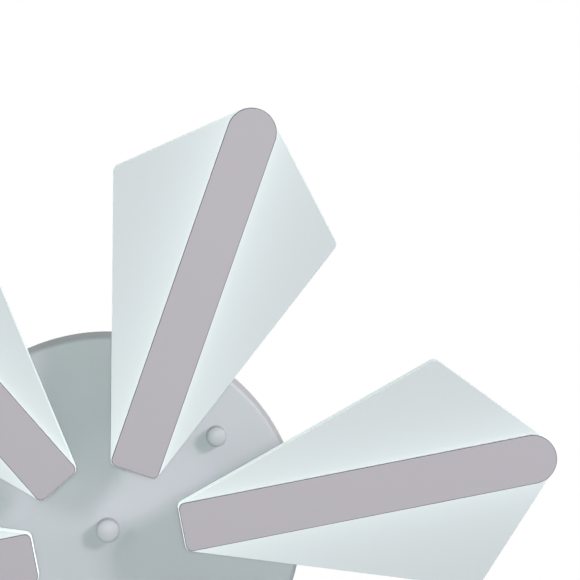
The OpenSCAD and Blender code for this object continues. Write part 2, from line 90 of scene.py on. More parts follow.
def seen_directly(tree):
    """A value of 1 for what the camera sees itself or in gloss and glass, and 0 for light on surfaces."""
    path = tree.nodes.new("ShaderNodeLightPath")
    either = worked_out(tree, "MAXIMUM", path.outputs["Is Camera Ray"], path.outputs["Is Glossy Ray"])
    return worked_out(tree, "MAXIMUM", either, path.outputs["Is Transmission Ray"])


def whiten(tree, share, plain, white, end):
    """Ends a tree in a mix of its plain shader and a white one, which gets this share."""
    mix = tree.nodes.new("ShaderNodeMixShader")
    for place, value in zip(mix.inputs, (share, plain.outputs[0], white.outputs[0])):
        feed(tree, place, value)
    tree.links.new(mix.outputs[0], end.inputs["Surface"])


def new_finish(name, colour, roughness, metallic=0.0):
    """A material whose shader has these plain values; its section adds what varies over the surface."""
    material = bpy.data.materials.new(name)
    material.use_nodes = True
    shader = material.node_tree.nodes["Principled BSDF"]
    shader.inputs["Base Color"].default_value = (*colour, 1)
    shader.inputs["Roughness"].default_value = roughness
    shader.inputs["Metallic"].default_value = metallic
    return material


def light_the_room():
    room = bpy.data.worlds.new("room")
    bpy.context.scene.world = room
    room.use_nodes = True
    tree = room.node_tree
    daylight = tree.nodes["Background"]
    daylight.inputs["Color"].default_value = (*daylight_colour, 1)
    daylight.inputs["Strength"].default_value = daylight_level
    white = tree.nodes.new("ShaderNodeBackground")
    white.inputs["Color"].default_value = pure_white
    whiten(tree, seen_directly(tree), daylight, white, tree.nodes["World Output"])


def lay_floor():
    corners = [(x * floor_half, y * floor_half, -floor_depth)
               for x, y in ((-1, -1), (1, -1), (1, 1), (-1, 1))]
    mesh = bpy.data.meshes.new("floor")
    mesh.from_pydata(corners, [], [(0, 1, 2, 3)])
    floor = bpy.data.objects.new("floor", mesh)
    bpy.context.scene.collection.objects.link(floor)
    pale = new_finish("pale_floor", floor_colour, floor_roughness)
    tree = pale.node_tree
    white = tree.nodes.new("ShaderNodeEmission")
    white.inputs["Color"].default_value = pure_white
    share = worked_out(tree, "MULTIPLY", seen_directly(tree), floor_white_share)
    whiten(tree, share, tree.nodes["Principled BSDF"], white, tree.nodes["Material Output"])
    mesh.materials.append(pale)


def hang_lamp(name, place, size, power, colour, aim=light_middle):
    """A square soft lamp that points at aim and isn't seen itself."""
    panel = bpy.data.lights.new(name, "AREA")
    panel.size = size
    panel.energy = power
    panel.color = colour
    lamp = bpy.data.objects.new(name, panel)
    lamp.location = place
    lamp.rotation_euler = (Vector(aim) - Vector(place)).to_track_quat("-Z", "Y").to_euler()
    lamp.visible_camera = False
    bpy.context.scene.collection.objects.link(lamp)
    return lamp


light_the_room()
lay_floor()
# The main lamp, and a weaker one that comes in at a lower angle, stand well out on the +X side, so that
# the wings' shade falls inward on the canopy. The fill lamp behind the camera and a weak one across from
# the main lamp soften it.
main_lamp = hang_lamp("main_lamp", (3.22, 0.28, -3.13), size=0.8, power=73, colour=(1.0, 0.855, 0.93))
low_lamp = hang_lamp("low_lamp", (3.86, 1.41, -1.83), size=1.6, power=33, colour=(1.0, 0.97, 1.0))
hang_lamp(
    "fill_lamp", (0.45, -0.58, -4.67), size=0.2, power=82, colour=(0.88, 1.0, 0.965), aim=(0.15, 0, -0.05))
across_lamp = hang_lamp("across_lamp", (-2.29, -2.29, -3.13), size=1.6, power=25, colour=(1.0, 0.85, 0.98))
# Three lamps above the ceiling's level light the back and the sides, and never reach the front. The
# highest isn't mirrored in the metal under it, which keeps its grey.
back_lamp = hang_lamp("back_lamp", (-1.6, 1.2, 3.0), size=2.5, power=115, colour=(0.98, 0.99, 1.0))
back_lamp.visible_glossy = False
hang_lamp("left_lamp", (-4.0, -1.0, 0.9), size=2.0, power=65, colour=(0.98, 1.0, 1.0))
hang_lamp("right_lamp", (3.0, 2.4, 0.9), size=2.0, power=8, colour=(1.0, 0.96, 0.98))

# Ceiling bracket: a folded channel of zinc-plated steel strip with two slots for the ceiling screws.
# Its edges are slightly rounded, as the press leaves them.
zinc_colour = (0.56, 0.57, 0.59)
bracket_edge = 0.0003
same_point = 0.000001
flat_within_deg = 0.4
# A mix node's inputs share their names, so those of its colours are taken by number.
mix_share = 0
mix_start = 6
mix_end = 7
mix_result = 2


def mixed_colour(tree, share, start, end):
    """The output of a mix of two colours, each a plain one or a node's output."""
    mix = tree.nodes.new("ShaderNodeMix")
    mix.data_type = "RGBA"
    for place, value in ((mix_share, share), (mix_start, start), (mix_end, end)):
        feed(tree, mix.inputs[place], value)
    return mix.outputs[mix_result]


def add_grain(material, size, depth, shade, gloss, kind="ShaderNodeTexNoise"):
    """Grain of this size and depth in metres, which also shades the colour and the gloss by these shares."""
    tree = material.node_tree
    shader = tree.nodes["Principled BSDF"]
    place = tree.nodes.new("ShaderNodeTexCoord")
    grain = tree.nodes.new(kind)
    grain.inputs["Scale"].default_value = 1 / size
    tree.links.new(place.outputs["Object"], grain.inputs["Vector"])
    height = grain.outputs["Fac" if kind == "ShaderNodeTexNoise" else "Color"]
    bump = tree.nodes.new("ShaderNodeBump")
    bump.inputs["Distance"].default_value = depth
    bump.inputs["Strength"].default_value = 1.0
    tree.links.new(height, bump.inputs["Height"])
    tree.links.new(bump.outputs["Normal"], shader.inputs["Normal"])
    colour = shader.inputs["Base Color"].default_value[:3]
    darker = (*(c * (1 - shade) for c in colour), 1)
    lighter = (*(min(1, c * (1 + shade)) for c in colour), 1)
    tree.links.new(mixed_colour(tree, height, darker, lighter), shader.inputs["Base Color"])
    roughness = shader.inputs["Roughness"].default_value
    sheen = tree.nodes.new("ShaderNodeMapRange")
    sheen.inputs["To Min"].default_value = roughness * (1 - gloss)
    sheen.inputs["To Max"].default_value = roughness * (1 + gloss)
    tree.links.new(height, sheen.inputs["Value"])
    tree.links.new(sheen.outputs[0], shader.inputs["Roughness"])
    return material


def fit_piece(name, mesh, material, slot, body, *nodes, crease_deg=30):
    """Puts a mesh in its place as a named piece that stands for CAD nodes and moves with their body."""
    mesh.materials.clear()
    mesh.materials.append(material)
    mesh.polygons.foreach_set("use_smooth", [True] * len(mesh.polygons))
    mesh.set_sharp_from_angle(angle=math.radians(crease_deg))
    piece = bpy.data.objects.new(name, mesh)
    bpy.context.scene.collection.objects.link(piece)
    shading = piece.modifiers.new("flat_faces_stay_flat", "WEIGHTED_NORMAL")
    shading.keep_sharp = True
    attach(piece, body)
    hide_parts(*nodes)
    return piece


def rounded_copy(node, edge, sharp_deg=35, segments=2):
    """A copy of a CAD node's mesh with its sharp edges rounded off by edge, in metres."""
    shape = bmesh.new()
    shape.from_mesh(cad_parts[node].data)
    bmesh.ops.remove_doubles(shape, verts=shape.verts, dist=same_point)
    bmesh.ops.dissolve_limit(
        shape, angle_limit=math.radians(flat_within_deg), verts=shape.verts, edges=shape.edges,
        delimit={"NORMAL"})
    if edge:
        sharp = [e for e in shape.edges
                 if len(e.link_faces) == 2 and e.calc_face_angle() > math.radians(sharp_deg)]
        bmesh.ops.bevel(
            shape, geom=sharp, offset=edge, segments=segments, profile=0.5, affect="EDGES",
            clamp_overlap=True)
    mesh = bpy.data.meshes.new(node)
    shape.to_mesh(mesh)
    shape.free()
    return mesh


zinc = add_grain(
    new_finish("zinc_plate", zinc_colour, roughness=0.36, metallic=1.0),
    size=0.006, depth=0.000004, shade=0.10, gloss=0.25, kind="ShaderNodeTexVoronoi")
fit_piece(
    "bracket", rounded_copy("ceiling_bracket", bracket_edge), zinc, "zinc_steel", "root", "ceiling_bracket")

# Studs: three zinc-plated threaded rods, screwed up into the bracket, that the cap nuts hold on to.
# Each is a true screw thread with a chamfer at both ends.
centre_pitch = 0.001
side_pitch = 0.0007
thread_depth_share = 0.61
thread_sides = 24


def skin(rings, closed=False):
    """Points and faces of a surface through rings of equal counts, which may close on itself."""
    count = len(rings[0])
    points = [point for ring in rings for point in ring]
    last = len(rings) if closed else len(rings) - 1
    faces = []
    for r in range(last):
        here, there = r * count, (r + 1) % len(rings) * count
        for k in range(count):
            after = (k + 1) % count
            faces.append((here + k, here + after, there + after, there + k))
    return points, faces


def ring_at(radius, z, count=48, centre=(0, 0)):
    """A level ring of points; radius is one number or a function of the turn, from 0 to 1."""
    at = radius if callable(radius) else lambda turn: radius
    return [(centre[0] + at(k / count) * math.cos(2 * math.pi * k / count),
             centre[1] + at(k / count) * math.sin(2 * math.pi * k / count), z) for k in range(count)]


def add_skin(shape, rings, closed=False, capped=False):
    """Adds a skin to a bmesh, with a flat face over each end where it is capped."""
    points, faces = skin(rings, closed)
    verts = [shape.verts.new(point) for point in points]
    for face in faces:
        shape.faces.new([verts[k] for k in face])
    if capped:
        count = len(rings[0])
        shape.faces.new(verts[:count][::-1])
        shape.faces.new(verts[-count:])


def to_mesh(shape, name):
    """The bmesh as a mesh, with its faces turned outward."""
    bmesh.ops.recalc_face_normals(shape, faces=shape.faces)
    mesh = bpy.data.meshes.new(name)
    shape.to_mesh(mesh)
    shape.free()
    return mesh


def thread_rings(radius, pitch, low, high, steps=6):
    """Rings along a threaded rod from low to high: the groove winds round it once in each pitch."""
    depth = thread_depth_share * pitch
    rows = max(2, round((high - low) / pitch * steps))
    rings = []
    for row in range(rows + 1):
        z = low + (high - low) * row / rows
        inward = depth * max(0, 1 - min(z - low, high - z) / pitch)

        def at(turn):
            wave = abs((z / pitch - turn) % 1 * 2 - 1)
            return radius - max(depth * wave, inward)
        rings.append(ring_at(at, z, thread_sides))
    return rings


def moved(mesh, *places):
    """One mesh made of copies of a mesh at each of these places."""
    shape = bmesh.new()
    for place in places:
        before = len(shape.verts)
        shape.from_mesh(mesh)
        shape.verts.ensure_lookup_table()
        bmesh.ops.translate(shape, vec=place, verts=shape.verts[before:])
    joined = bpy.data.meshes.new(mesh.name)
    shape.to_mesh(joined)
    shape.free()
    return joined


def stud_mesh(name, diameter, pitch, low, high):
    shape = bmesh.new()
    add_skin(shape, thread_rings(diameter / 2, pitch, low, high), capped=True)
    return to_mesh(shape, name)


centre_low, centre_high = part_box("centre_stud")
centre_stud_d = centre_high.x - centre_low.x
side_low, side_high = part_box("side_studs")
side_stud_d = side_high.y - side_low.y
side_stud_at = side_high.x - side_stud_d / 2
side_places = ((side_stud_at, 0, 0), (-side_stud_at, 0, 0))
centre_stud = stud_mesh("centre_stud", centre_stud_d, centre_pitch, centre_low.z, centre_high.z)
side_stud = stud_mesh("side_studs", side_stud_d, side_pitch, side_low.z, side_high.z)
fit_piece("stud_centre", centre_stud, zinc, "zinc_steel", "root", "centre_stud")
fit_piece("studs_side", moved(side_stud, *side_places), zinc, "zinc_steel", "root", "side_studs")

# Stud nuts: one hexagon nut on each stud, tight against the bracket from below.
# Both faces have the round chamfer that a turned nut has.
nut_flats_share = 1.7
nut_height_share = 0.8
nut_face_share = 0.95
lead_in_share = 0.06
thread_clearance = 0.0001
chamfer_slope = math.tan(math.radians(30))


def hex_nut_mesh(name, flats, stud_d, low, high):
    """A chamfered hexagon nut for a stud of this diameter."""
    bore = stud_d + thread_clearance
    lead_in = lead_in_share * bore
    face_r = nut_face_share * flats / 2

    def flat_side(turn):
        return flats / 2 / math.cos((turn * 6 % 1 - 0.5) * math.pi / 3)

    def at_corner(level, way):
        ring = ring_at(flat_side, level)
        return [(x, y, level + way * chamfer_slope * (math.hypot(x, y) - face_r)) for x, y, _ in ring]
    shape = bmesh.new()
    add_skin(shape, [
        ring_at(bore / 2, low + lead_in), ring_at(bore / 2 + lead_in, low), ring_at(face_r, low),
        at_corner(low, 1), at_corner(high, -1), ring_at(face_r, high),
        ring_at(bore / 2 + lead_in, high), ring_at(bore / 2, high - lead_in)], closed=True)
    return to_mesh(shape, name)


nut_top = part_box("stud_nuts")[1].z
stud_nut_shape = bmesh.new()
for stud_d, nut_places in ((centre_stud_d, ((0, 0, 0),)), (side_stud_d, side_places)):
    nut = hex_nut_mesh(
        "stud_nut", nut_flats_share * stud_d, stud_d, nut_top - nut_height_share * stud_d, nut_top)
    stud_nut_shape.from_mesh(moved(nut, *nut_places))
stud_nut_mesh = to_mesh(stud_nut_shape, "stud_nuts")
fit_piece("nuts_on_studs", stud_nut_mesh, zinc, "zinc_steel", "root", "stud_nuts")

# Canopy: a shallow pan spun from 1 mm steel and powder-coated satin white, with studs welded inside.
# The coat has a very fine orange peel.
white_colour = (0.571, 0.594, 0.617)
coat_specular = 0.4


def powder_coat(name):
    coat = add_grain(
        new_finish(name, white_colour, roughness=0.42), size=0.0016, depth=0.000006, shade=0.012, gloss=0.10)
    coat.node_tree.nodes["Principled BSDF"].inputs["Specular IOR Level"].default_value = coat_specular
    return coat


canopy_low, canopy_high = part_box("canopy")
canopy_r = canopy_high.x
canopy_sheet = 0.001
canopy_lean = 0.002
canopy_sides = 144
shoulder_r = 0.004
shoulder_steps = 8
rim_edge_r = 0.0003
centre_hole_d = 0.007
side_hole_d = 0.005
stem_hole_d = 0.0105
hole_sides = 40
same_level = 0.0000001
stem_at = 0.110
wing_count = 6
first_wing_deg = 30
welded_stud_d = 0.003
welded_stud_l = 0.0055
welded_pitch = 0.0005
weld_flange = 0.0003
weld_collar = ((0, 0), (weld_flange, 0), (weld_flange, weld_flange), (0, 2 * weld_flange))
collar_sides = 24
earth_stud_d = 0.004
earth_stud_l = 0.007
terminal_low, terminal_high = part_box("terminal_block")
terminal_ear = 0.008
earth_low, earth_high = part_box("earth_nut")
mount_low, mount_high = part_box("mount_nuts")
mount_flats = 0.0055
driver_low, driver_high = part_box("driver_1")
ear_side = 0.011


def wing_angle(number):
    return math.radians(first_wing_deg + 360 / wing_count * (number - 1))


stem_places = [(stem_at * math.cos(wing_angle(n)), stem_at * math.sin(wing_angle(n)), 0)
               for n in range(1, wing_count + 1)]
mount_far_x = mount_high.x - mount_flats / 2 / math.cos(math.radians(30))
mount_far_y = (driver_low.y + driver_high.y) / 2 - ear_side
mount_places = [(x * mount_far_x, y * mount_far_y, 0) for x in (-1, 1) for y in (-1, 1)]
mount_places.append((terminal_low.x + terminal_ear / 2, (terminal_low.y + terminal_high.y) / 2, 0))
earth_place = ((earth_low.x + earth_high.x) / 2, (earth_low.y + earth_high.y) / 2, 0)


def fill_level(shape, z):
    """Closes the open edges at this level with flat faces, leaving holes where rings lie inside."""
    edges = [e for e in shape.edges
             if len(e.link_faces) == 1 and all(abs(v.co.z - z) < same_level for v in e.verts)]
    bmesh.ops.triangle_fill(shape, use_beauty=True, use_dissolve=False, edges=edges)


def pan_rings(inset):
    """Rings of the pan's outer face, or of its inner one by an inset, from the rim to the flat face."""
    middle_r = canopy_r - canopy_lean - shoulder_r
    middle_z = canopy_low.z + shoulder_r
    radius = shoulder_r - inset
    slope = math.atan2(canopy_lean, -middle_z)
    rings = [ring_at(canopy_r - inset, -rim_edge_r, canopy_sides)]
    for k in range(shoulder_steps + 1):
        turn = slope + (math.pi / 2 - slope) * k / shoulder_steps
        rings.append(ring_at(
            middle_r + radius * math.cos(turn), middle_z - radius * math.sin(turn), canopy_sides))
    return rings


def canopy_mesh():
    face, inside = canopy_low.z, canopy_low.z + canopy_sheet
    outer, inner = pan_rings(0), pan_rings(canopy_sheet)
    rim = [ring_at(canopy_r - canopy_sheet + rim_edge_r, 0, canopy_sides),
           ring_at(canopy_r - rim_edge_r, 0, canopy_sides)]
    shape = bmesh.new()
    add_skin(shape, inner[::-1] + rim + outer)
    holes = [(centre_hole_d, (0, 0))] + [(side_hole_d, place[:2]) for place in side_places]
    holes += [(stem_hole_d, place[:2]) for place in stem_places]
    for hole_d, place in holes:
        add_skin(shape, [ring_at(hole_d / 2, level, hole_sides, place) for level in (face, inside)])
    fill_level(shape, face)
    fill_level(shape, inside)
    pan = to_mesh(shape, "pan")
    studs = bmesh.new()
    studs.from_mesh(pan)
    sets = ((welded_stud_d, welded_stud_l, mount_places), (earth_stud_d, earth_stud_l, [earth_place]))
    for stud_d, stud_l, places in sets:
        stud = stud_mesh("welded_stud", stud_d, welded_pitch, inside, inside + stud_l)
        studs.from_mesh(moved(stud, *places))
        for place in places:
            add_skin(studs, [ring_at(stud_d / 2 + grow, inside + rise, collar_sides, place[:2])
                             for grow, rise in weld_collar])
    return to_mesh(studs, "canopy")


white_paint = powder_coat("white_powder_coat")
fit_piece("canopy_pan", canopy_mesh(), white_paint, "white_paint", "root", "canopy", crease_deg=40)

# Drivers: two slim moulded cases on welded studs, each with a seam between base and lid, a screwed
# cover at both ends, an ear at both ends and a rubber bush round every lead.
case_colour = (0.70, 0.70, 0.68)
driver_corner = 0.003
base_edge = 0.0003
seam_share = 0.62
seam_gap = 0.0004
seam_depth = 0.0004
tongue_below = 0.0002
tongue_above = 0.0006
tongue_edge = 0.0001
lid_corner = 0.0006
lid_edge = 0.0012
cover_l = 0.024
cover_gap = 0.0002
cover_drop = 0.0006
cover_screw_r = 0.0026
cover_screw_h = 0.0006
ear_l = 0.010
ear_w = 0.014
ear_t = 0.0015
ear_corner = 0.002
ear_root = 0.001
slab_edge_steps = 3
lead_gap_z = 0.008
lead_rows = (0, 0.007, 0.014)
bush_bore_r = 0.0018
bush_r = 0.0031
bush_lip_r = 0.0027
bush_inside = 0.001
bush_shoulder = 0.0012
bush_outside = 0.0018
bush_sides = 24
bush_profile = ((bush_bore_r, -bush_inside), (bush_r, -bush_inside), (bush_r, bush_shoulder),
                (bush_lip_r, bush_outside), (bush_bore_r, bush_outside))
# A screw's head: its outline, as shares of its radius and height, and the arms and floor of its recess.
head_outline = ((1.0, 0.0), (1.0, 0.35), (0.94, 0.66), (0.80, 0.90), (0.66, 1.0))
recess_arm_share = 0.16
recess_reach_share = 0.62
recess_taper = 0.8
recess_floor_share = 0.45
head_sides = 48
no_width = 0.000001


def rounded_box_ring(half_x, half_y, corner, z, centre, steps=5):
    """A level ring round a rectangle with round corners."""
    ring = []
    for quarter, (x, y) in enumerate(((1, 1), (-1, 1), (-1, -1), (1, -1))):
        for k in range(steps + 1):
            turn = (quarter + k / steps) * math.pi / 2
            ring.append((centre[0] + x * (half_x - corner) + corner * math.cos(turn),
                         centre[1] + y * (half_y - corner) + corner * math.sin(turn), z))
    return ring


def add_slab(shape, half_x, half_y, corner, low, high, centre, edge):
    """A closed slab with round corners, and a rounded edge at the top."""
    rings = [rounded_box_ring(half_x, half_y, corner, low, centre)]
    for k in range(slab_edge_steps + 1):
        turn = k / slab_edge_steps * math.pi / 2
        inset = edge * (1 - math.cos(turn))
        level = high - edge * (1 - math.sin(turn))
        rings.append(rounded_box_ring(
            half_x - inset, half_y - inset, max(corner - inset, corner / 4), level, centre))
    add_skin(shape, rings, capped=True)


def add_cross_head(shape, radius, height, centre, z):
    """A pan-head screw's head that stands up from z, with a cross-shaped recess."""
    arm, reach = recess_arm_share * radius, recess_reach_share * radius

    def cross(turn):
        best = 0.0
        angle = 2 * math.pi * turn
        for quarter in range(4):
            along = math.cos(angle - quarter * math.pi / 2)
            across = abs(math.sin(angle - quarter * math.pi / 2))
            if along > 0:
                best = max(best, min(reach / along, arm / max(across, no_width)))
        return best

    def recess_floor(turn):
        return recess_taper * cross(turn)
    rings = [ring_at(r * radius, z + rise * height, head_sides, centre) for r, rise in head_outline]
    rings.append(ring_at(cross, z + height, head_sides, centre))
    rings.append(ring_at(recess_floor, z + recess_floor_share * height, head_sides, centre))
    add_skin(shape, rings, capped=True)


def driver_mesh(name, side):
    """One driver; side is 1 for the one on +Y and -1 for its mirror image."""
    middle = (0, (driver_low.y + driver_high.y) / 2)
    half_x, half_y = driver_high.x - ear_l, (driver_high.y - driver_low.y) / 2
    low, high = driver_low.z, driver_high.z
    seam = low + seam_share * (high - low)
    cover_top = high - cover_drop
    shape = bmesh.new()
    add_slab(shape, half_x, half_y, driver_corner, low, seam, middle, base_edge)
    add_slab(shape, half_x - seam_depth, half_y - seam_depth, driver_corner,
             seam - tongue_below, seam + tongue_above, middle, tongue_edge)
    add_slab(shape, half_x - cover_l - cover_gap, half_y, lid_corner,
             seam + seam_gap, high, middle, lid_edge)
    for end in (-1, 1):
        cover = (end * (half_x - cover_l / 2), middle[1])
        add_slab(shape, cover_l / 2 - cover_gap, half_y, driver_corner,
                 seam + seam_gap, cover_top, cover, lid_edge)
        add_cross_head(shape, cover_screw_r, cover_screw_h, cover, cover_top)
        ear = (end * (half_x + ear_l / 2 - ear_root), middle[1] - ear_side)
        add_slab(shape, ear_l / 2 + ear_root, ear_w / 2, ear_corner, low, low + ear_t, ear, base_edge)
        bushed_rows = lead_rows if end == 1 else lead_rows[1:2]
        for row in bushed_rows:
            bush = bmesh.new()
            add_skin(bush, [ring_at(r, z, bush_sides) for r, z in bush_profile], closed=True)
            outward = Matrix.Rotation(math.radians(90 * end), 4, "Y")
            mouth = Matrix.Translation((end * half_x, middle[1] + row, low + lead_gap_z))
            bush.transform(mouth @ outward)
            shape.from_mesh(to_mesh(bush, "bush"))
    if side < 0:
        bmesh.ops.scale(shape, vec=(1, -1, 1), verts=shape.verts)
    return to_mesh(shape, name)


case_plastic = add_grain(
    new_finish("moulded_case", case_colour, roughness=0.45),
    size=0.0009, depth=0.000012, shade=0.02, gloss=0.12)
for number, side in ((1, 1), (2, -1)):
    driver = f"driver_{number}"
    case = driver_mesh(driver, side)
    fit_piece(f"driver_case_{number}", case, case_plastic, "case_plastic", "root", driver)

# Nuts on the welded studs: five small hexagon nuts of zinc-plated steel. Four of them hold the drivers'
# ears and one holds the terminal block.
mount_nut = hex_nut_mesh("mount_nut", mount_flats, welded_stud_d, mount_low.z, mount_high.z)
fit_piece("nuts_on_welded_studs", moved(mount_nut, *mount_places), zinc, "zinc_steel", "root", "mount_nuts")

# Terminal block: three poles in moulded natural nylon, with a slotted brass screw on each side of a pole.
# Its ear sits on a welded stud.
nylon_colour = (0.74, 0.73, 0.67)
nylon_scatter = 0.15
nylon_scatter_reach = (0.002, 0.002, 0.0015)
brass_colour = (0.78, 0.57, 0.26)
block_edge = 0.0004
small_edge = 0.0001
nylon = add_grain(
    new_finish("nylon_block", nylon_colour, roughness=0.4), size=0.002, depth=0.00001, shade=0.03, gloss=0.1)
nylon_shader = nylon.node_tree.nodes["Principled BSDF"]
nylon_shader.inputs["Subsurface Weight"].default_value = nylon_scatter
nylon_shader.inputs["Subsurface Radius"].default_value = nylon_scatter_reach
brass = add_grain(
    new_finish("bright_brass", brass_colour, roughness=0.28, metallic=1.0),
    size=0.0012, depth=0.000003, shade=0.08, gloss=0.2)
terminal_body = rounded_copy("terminal_block", block_edge)
fit_piece("terminals", terminal_body, nylon, "terminal_plastic", "root", "terminal_block")
terminal_screws = rounded_copy("terminal_screws", small_edge)
fit_piece("screws_of_terminals", terminal_screws, brass, "brass", "root", "terminal_screws")

# Earth: a tinned ring lug, crimped on the end of the earth lead, and the nut that holds it on a stud
# welded to the canopy.
earth_flats = 0.007
fit_piece("lug_of_earth", rounded_copy("earth_lug", small_edge), zinc, "zinc_steel", "root", "earth_lug")
earth_nut = hex_nut_mesh("earth_nut", earth_flats, earth_stud_d, earth_low.z, earth_high.z)
fit_piece("nut_of_earth", moved(earth_nut, earth_place), zinc, "zinc_steel", "root", "earth_nut")

# Leads: round two-core leads with a white sheath, from the drivers into the stems and from the terminal
# block to the drivers, and the green earth lead with its yellow stripe.
sheath_colour = (0.70, 0.70, 0.68)
sheath_roughness = 0.5
earth_green = (0.10, 0.32, 0.07)
earth_yellow = (0.80, 0.66, 0.06)
stripe_share = 0.25


def smooth_lead(name, material, slot, node):
    lead = fit_piece(name, rounded_copy(node, 0), material, slot, "root", node, crease_deg=60)
    rounder = lead.modifiers.new("rounder", "SUBSURF")
    rounder.levels = 1
    rounder.render_levels = 1


def parts_of(tree, vector):
    """The outputs X, Y and Z of a node's vector."""
    parts = tree.nodes.new("ShaderNodeSeparateXYZ")
    tree.links.new(vector, parts.inputs[0])
    return parts.outputs


def surface_facing(tree):
    """The way that the surface faces, as outputs X, Y and Z."""
    return parts_of(tree, tree.nodes.new("ShaderNodeTexCoord").outputs["Normal"])


def stripe_along(material, colour, width):
    """A stripe of this width along the top of a lead, by its surface's own direction."""
    tree = material.node_tree
    base = tree.nodes["Principled BSDF"].inputs["Base Color"]
    on_top = worked_out(tree, "GREATER_THAN", surface_facing(tree)["Z"], 1 - width)
    tree.links.new(mixed_colour(tree, on_top, base.default_value, (*colour, 1)), base)


sheath = add_grain(
    new_finish("lead_sheath", sheath_colour, sheath_roughness),
    size=0.0012, depth=0.000008, shade=0.02, gloss=0.1)
earth_sheath = new_finish("earth_sheath", earth_green, sheath_roughness)
stripe_along(earth_sheath, earth_yellow, stripe_share)
smooth_lead("leads_to_wings", sheath, "lead_sheath", "output_leads")
smooth_lead("leads_to_drivers", sheath, "lead_sheath", "supply_leads")
smooth_lead("lead_of_earth", earth_sheath, "earth_sheath", "earth_lead")

# Stems: each a hollow brass nipple with a thread at both ends, a white sleeve over it, and a lock nut
# in the canopy and one in the wing.
nipple_low, nipple_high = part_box("stem_nipples")
nipple_d = 0.010
nipple_bore = 0.007
nipple_pitch = 0.001
thread_l = 0.011
lock_nut_flats = 0.014
sleeve_edge = 0.0004


def nipple_mesh():
    low, high = nipple_low.z, nipple_high.z
    rings = [ring_at(nipple_bore / 2, low, thread_sides)]
    rings += thread_rings(nipple_d / 2, nipple_pitch, low, low + thread_l)
    rings += thread_rings(nipple_d / 2, nipple_pitch, high - thread_l, high)
    rings.append(ring_at(nipple_bore / 2, high, thread_sides))
    shape = bmesh.new()
    add_skin(shape, rings, closed=True)
    return to_mesh(shape, "nipple")


fit_piece("nipples", moved(nipple_mesh(), *stem_places), brass, "brass", "root", "stem_nipples")
for end in ("top", "bottom"):
    nuts = f"stem_{end}_nuts"
    nut_low, nut_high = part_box(nuts)
    lock_nut = hex_nut_mesh(f"stem_{end}_nut", lock_nut_flats, nipple_d, nut_low.z, nut_high.z)
    fit_piece(f"lock_nuts_{end}", moved(lock_nut, *stem_places), zinc, "zinc_steel", "root", nuts)
for number in range(1, wing_count + 1):
    sleeve = rounded_copy(f"stem_sleeve_{number}", sleeve_edge)
    fit_piece(f"sleeve_{number}", sleeve, white_paint, "white_paint", "root", f"stem_sleeve_{number}")

# Wing trays: the wings' backs, pressed from 0.8 mm steel with a low folded wall all round and
# powder-coated white. The stem's nipple and three screws go through the back.
bar_low, bar_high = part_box("wing_2_bar")
tray_low, tray_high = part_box("wing_2_tray")
diffuser_low, diffuser_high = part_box("wing_2_diffuser")
bar_start = bar_low.y
bar_half = bar_high.x
tip_at = bar_high.y - bar_half
bar_corner = 0.005
rim_margin = bar_start - diffuser_low.y
wide_at = 0.278
wide_corner = 0.006
wide_half = diffuser_high.x
tray_inset = wide_half - tray_high.x
tray_sheet = 0.0008
fold_r = 0.0012
screw_hole_d = 0.0034
nipple_hole_d = 0.0101
wing_hole_sides = 32
first_boss_in = 0.018
middle_boss_at = 0.205
boss_places = (bar_start + first_boss_in, middle_boss_at, tip_at - bar_corner)
bar_corners = (((bar_start + bar_corner, bar_corner - bar_half), bar_corner), ((tip_at, 0), bar_half),
               ((bar_start + bar_corner, bar_half - bar_corner), bar_corner))
wing_corners = (((bar_start + bar_corner, bar_corner - bar_half), bar_corner + rim_margin),
                ((wide_at, wide_corner - wide_half), wide_corner), ((tip_at, 0), bar_half),
                ((wide_at, wide_half - wide_corner), wide_corner),
                ((bar_start + bar_corner, bar_half - bar_corner), bar_corner + rim_margin))


def touch_turn(here, there):
    """The direction from a corner's middle to where the straight side to the next corner touches it."""
    (a, a_r), (b, b_r) = here, there
    run = Vector(b) - Vector(a)
    return math.atan2(run.y, run.x) - math.acos((a_r - b_r) / run.length)


def outline_ring(corners, inset, z, step_deg=4):
    """A level ring round a convex outline of round corners, drawn in by inset."""
    ring = []
    for k, (centre, radius) in enumerate(corners):
        start = touch_turn(corners[k - 1], corners[k])
        end = touch_turn(corners[k], corners[(k + 1) % len(corners)])
        while end < start:
            end += 2 * math.pi
        steps = max(3, math.ceil(math.degrees(end - start) / step_deg))
        for n in range(steps + 1):
            turn = start + (end - start) * n / steps
            ring.append((centre[0] + (radius - inset) * math.cos(turn),
                         centre[1] + (radius - inset) * math.sin(turn), z))
    return ring


def fold(corners, inset, z, radius, way, steps=4):
    """Rings round a fold or rounded edge, from the wall at inset to the flat at level z, inward."""
    rings = []
    for k in range(steps + 1):
        turn = k / steps * math.pi / 2
        rings.append(outline_ring(
            corners, inset + radius * (1 - math.cos(turn)), z - way * radius * (1 - math.sin(turn))))
    return rings


def tray_mesh():
    back, floor, edge = tray_high.z, tray_high.z - tray_sheet, tray_low.z
    inside = tray_inset + tray_sheet
    rings = fold(wing_corners, tray_inset, back, fold_r, 1)[::-1]
    rings += [outline_ring(wing_corners, tray_inset, edge), outline_ring(wing_corners, inside, edge)]
    rings += fold(wing_corners, inside, floor, fold_r - tray_sheet, 1)
    shape = bmesh.new()
    add_skin(shape, rings)
    for hole_d, at in ((nipple_hole_d, stem_at), *((screw_hole_d, at) for at in boss_places)):
        add_skin(shape, [ring_at(hole_d / 2, level, wing_hole_sides, (at, 0)) for level in (back, floor)])
    fill_level(shape, back)
    fill_level(shape, floor)
    return to_mesh(shape, "tray")


